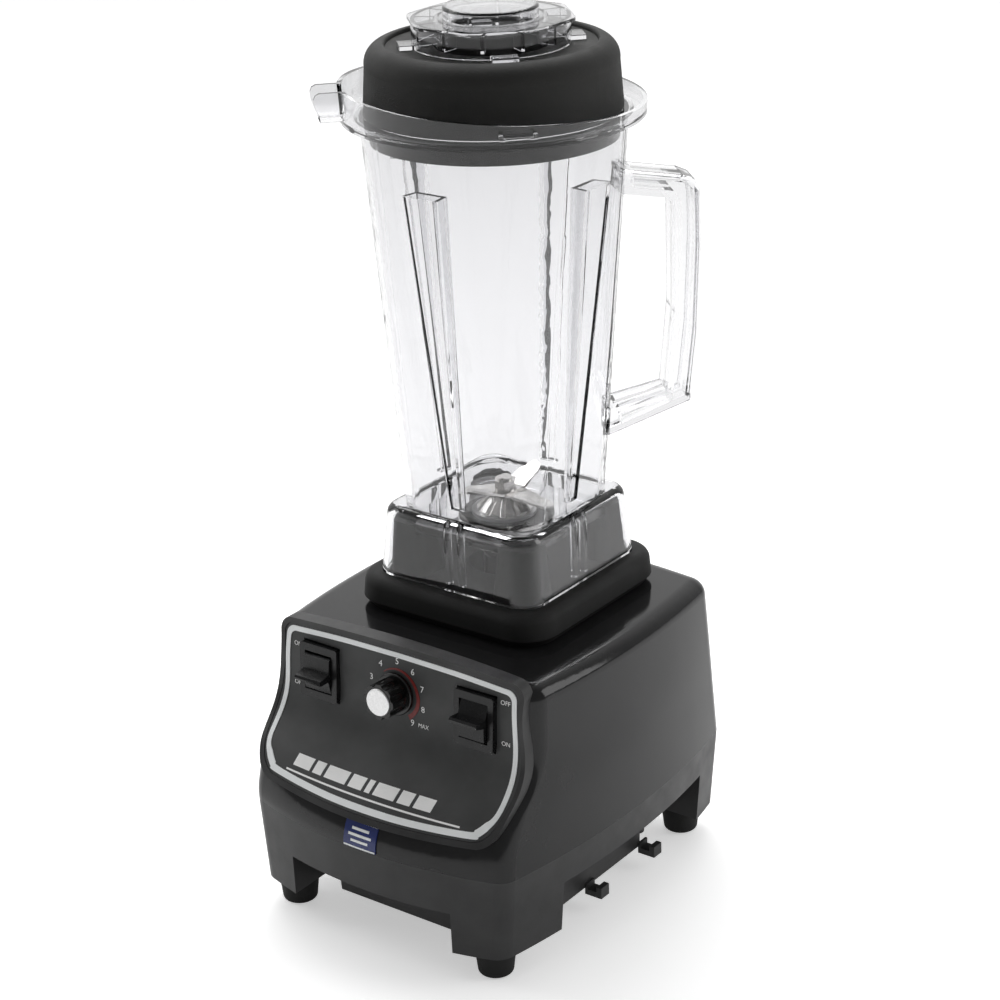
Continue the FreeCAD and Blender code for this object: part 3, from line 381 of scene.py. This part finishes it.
DIAL_Z = 149.0                  # height of the dial's axis
DIGIT_R, DIGIT_CAP, WORD_CAP = 18.9, 3.7, 2.6
DIGIT_ANGLES = (236, 200, 164, 128, 90, 54, 20, -18, -55)
SWITCH_WORDS = (("ON", -72.7, 160.0), ("OFF", -72.6, 136.0), ("OFF", 74.0, 162.0), ("ON", 74.6, 138.0))
BAR_WIDTHS = (15.0, 9.0, 18.0, 12.0, 6.0, 17.0, 11.0, 14.0)
BAR_START, BAR_GAP, BAR_SLANT = -58.0, 2.2, 1.5
BAR_Z, LINE_Z, LINE_HALF = (98.6, 104.4), (95.4, 96.3), 62.0


def panel_print():
    """Dial numbers, switch words, and bars in the place of the printed slogan."""
    ink = Print()
    for digit, angle in enumerate(DIGIT_ANGLES, start=1):
        a = radians(angle)
        ink.text(str(digit), DIGIT_R * cos(a), DIAL_Z + DIGIT_R * sin(a), DIGIT_CAP)
    ink.text("MAX", 18.6, 133.4, 2.4)
    for words, x, z in SWITCH_WORDS:
        ink.text(words, x, z, WORD_CAP)
    left = BAR_START
    for width in BAR_WIDTHS:
        ink.bar(left, width - BAR_GAP, *BAR_Z, BAR_SLANT, 6)
        left += width
    ink.bar(-LINE_HALF, 2 * LINE_HALF, *LINE_Z, 0.0, 40)
    add_piece("panel_print", ink.vertices, ink.faces, "print_white", "base")


BADGE_EDGE, BADGE_RIM, BADGE_RIM_RISE = 0.3 * MM, 0.9 * MM, 0.25 * MM
BADGE_BARS, BADGE_PITCH, BADGE_BAR_HALF, BADGE_BAR_RISE = (6.0, 8.0, 6.0), 3.4 * MM, 0.7 * MM, 0.2 * MM


def badge_detail():
    """Silver rim and three plain bars on the badge plate."""
    plate_y = surface_of("badge_plate")
    low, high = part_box("badge_plate")
    vertices, faces = [], []

    def bar(x0, x1, z0, z1, rise):
        """Raised bar that follows the plate's bow, without a back."""
        steps, sink = 8, 0.2 * MM
        first = len(vertices)
        for i in range(steps + 1):
            x = x0 + (x1 - x0) * i / steps
            for z in (z0, z1):
                y = plate_y(x, z)
                vertices.append((x, y + sink, z))
                vertices.append((x, y - rise, z))
        for i in range(steps):
            k = first + 4 * i
            faces.append((k + 1, k + 5, k + 7, k + 3))
            faces.append((k, k + 4, k + 5, k + 1))
            faces.append((k + 2, k + 3, k + 7, k + 6))
        k = first + 4 * steps
        faces.append((first, first + 1, first + 3, first + 2))
        faces.append((k, k + 2, k + 3, k + 1))

    x0, x1 = low[0] + BADGE_EDGE, high[0] - BADGE_EDGE
    z0, z1 = low[2] + BADGE_EDGE, high[2] - BADGE_EDGE
    rim = BADGE_RIM
    for span in ((x0, x1, z0, z0 + rim), (x0, x1, z1 - rim, z1), (x0, x0 + rim, z0, z1),
                 (x1 - rim, x1, z0, z1)):
        bar(*span, BADGE_RIM_RISE)
    for i, half in enumerate(BADGE_BARS):
        middle = (z0 + z1) / 2 + (i - 1) * BADGE_PITCH
        bar(-half * MM, half * MM, middle - BADGE_BAR_HALF, middle + BADGE_BAR_HALF, BADGE_BAR_RISE)
    add_piece("badge_detail", vertices, faces, "outline_silver", "base")


# ---- camera, light and floor ----

CAMERA_AT, CAMERA_AIM, CAMERA_ROLL = (0.81581, -1.06610, 0.79387), (-0.00383, 0.02222, 0.22824), -1.9164


def camera():
    """The view from the front right, from above."""
    data = bpy.data.cameras.new("camera")
    data.lens, data.sensor_width = 92.05, 36.0
    data.shift_x, data.shift_y = 0.00224, -0.00073
    data.clip_end = 20.0
    cam = bpy.data.objects.new("camera", data)
    bpy.context.scene.collection.objects.link(cam)
    cam.location = CAMERA_AT
    aim = Vector(CAMERA_AIM) - Vector(cam.location)
    turn = aim.to_track_quat("-Z", "Y").to_matrix().to_4x4()
    cam.matrix_world = Matrix.Translation(cam.location) @ turn @ Matrix.Rotation(radians(CAMERA_ROLL), 4, "Z")
    bpy.context.scene.camera = cam


def softbox(name, place, aim, size, power):
    data = bpy.data.lights.new(name, "AREA")
    data.shape = "RECTANGLE"
    data.size, data.size_y = size
    data.energy = power
    light = bpy.data.objects.new(name, data)
    bpy.context.scene.collection.objects.link(light)
    light.location = place
    light.rotation_euler = (Vector(aim) - Vector(place)).to_track_quat("-Z", "Y").to_euler()


FLOOR_SIDE, FLOOR_DROP = 6.0, 0.0003
FLOOR_GLOW, FLOOR_GLOW_SEEN = 0.16, 0.46        # in reflections and glass, and as the camera sees it


def surroundings():
    """White surroundings, brighter behind the object than in front of it."""
    world = bpy.data.worlds.new("studio")
    bpy.context.scene.world = world
    world.use_nodes = True
    nt = Nodes(world.node_tree)
    direction = nt.add("ShaderNodeTexCoord").outputs["Generated"]
    facing = nt.add("ShaderNodeVectorMath", operation="DOT_PRODUCT")
    facing.inputs[1].default_value = (-0.55, 0.72, 0.42)
    nt.link(direction, facing.inputs[0])
    sky = nt.ramp(facing.outputs["Value"], [(0.0, 0.22), (0.4, 0.45), (0.8, 1.0)])
    background = nt.add("ShaderNodeBackground")
    background.inputs["Strength"].default_value = 1.0
    nt.link(sky, background.inputs["Color"])
    output = nt.add("ShaderNodeOutputWorld")
    nt.link(background.outputs["Background"], output.inputs["Surface"])


def softboxes():
    softbox("top", (-0.6, 0.7, 1.7), (0, 0, 0.25), (1.4, 1.0), 18.0)
    softbox("left", (-1.6, -0.5, 1.1), (0, 0, 0.2), (0.7, 1.2), 6.0)
    softbox("right", (1.6, 0.9, 0.9), (0, 0, 0.15), (0.8, 1.3), 9.0)


def pale_floor():
    """Plain white floor with a little light of its own, more to the camera than to reflections."""
    mesh = bpy.data.meshes.new("floor")
    side = FLOOR_SIDE
    corners = [(-side, -side, 0), (side, -side, 0), (side, side, 0), (-side, side, 0)]
    mesh.from_pydata(corners, [], [(0, 1, 2, 3)])
    floor = bpy.data.objects.new("floor", mesh)
    bpy.context.scene.collection.objects.link(floor)
    floor.location.z = -FLOOR_DROP
    material, floor_nt, shader = new_material("floor")
    place = floor_nt.coords()
    paper = floor_nt.ramp(floor_nt.noise(place, 3.0), [(0.3, 0.90), (0.7, 0.93)])
    floor_nt.link(paper, shader.inputs["Base Color"])
    shader.inputs["Roughness"].default_value = 0.6
    shader.inputs["Specular IOR Level"].default_value = 0.2
    shader.inputs["Emission Color"].default_value = (1.0, 1.0, 1.0, 1.0)
    seen = floor_nt.add("ShaderNodeLightPath").outputs["Is Camera Ray"]
    glow = floor_nt.add("ShaderNodeMapRange")
    glow.inputs["To Min"].default_value = FLOOR_GLOW
    glow.inputs["To Max"].default_value = FLOOR_GLOW_SEEN
    floor_nt.link(seen, glow.inputs["Value"])
    floor_nt.link(glow.outputs["Result"], shader.inputs["Emission Strength"])
    mesh.materials.append(material)


outline_strip()
panel_print()
badge_detail()
for name, width in EDGE_RADII.items():
    soften(name, width)

camera()
surroundings()
softboxes()
pale_floor()
bpy.context.scene.view_settings.view_transform = "Standard"
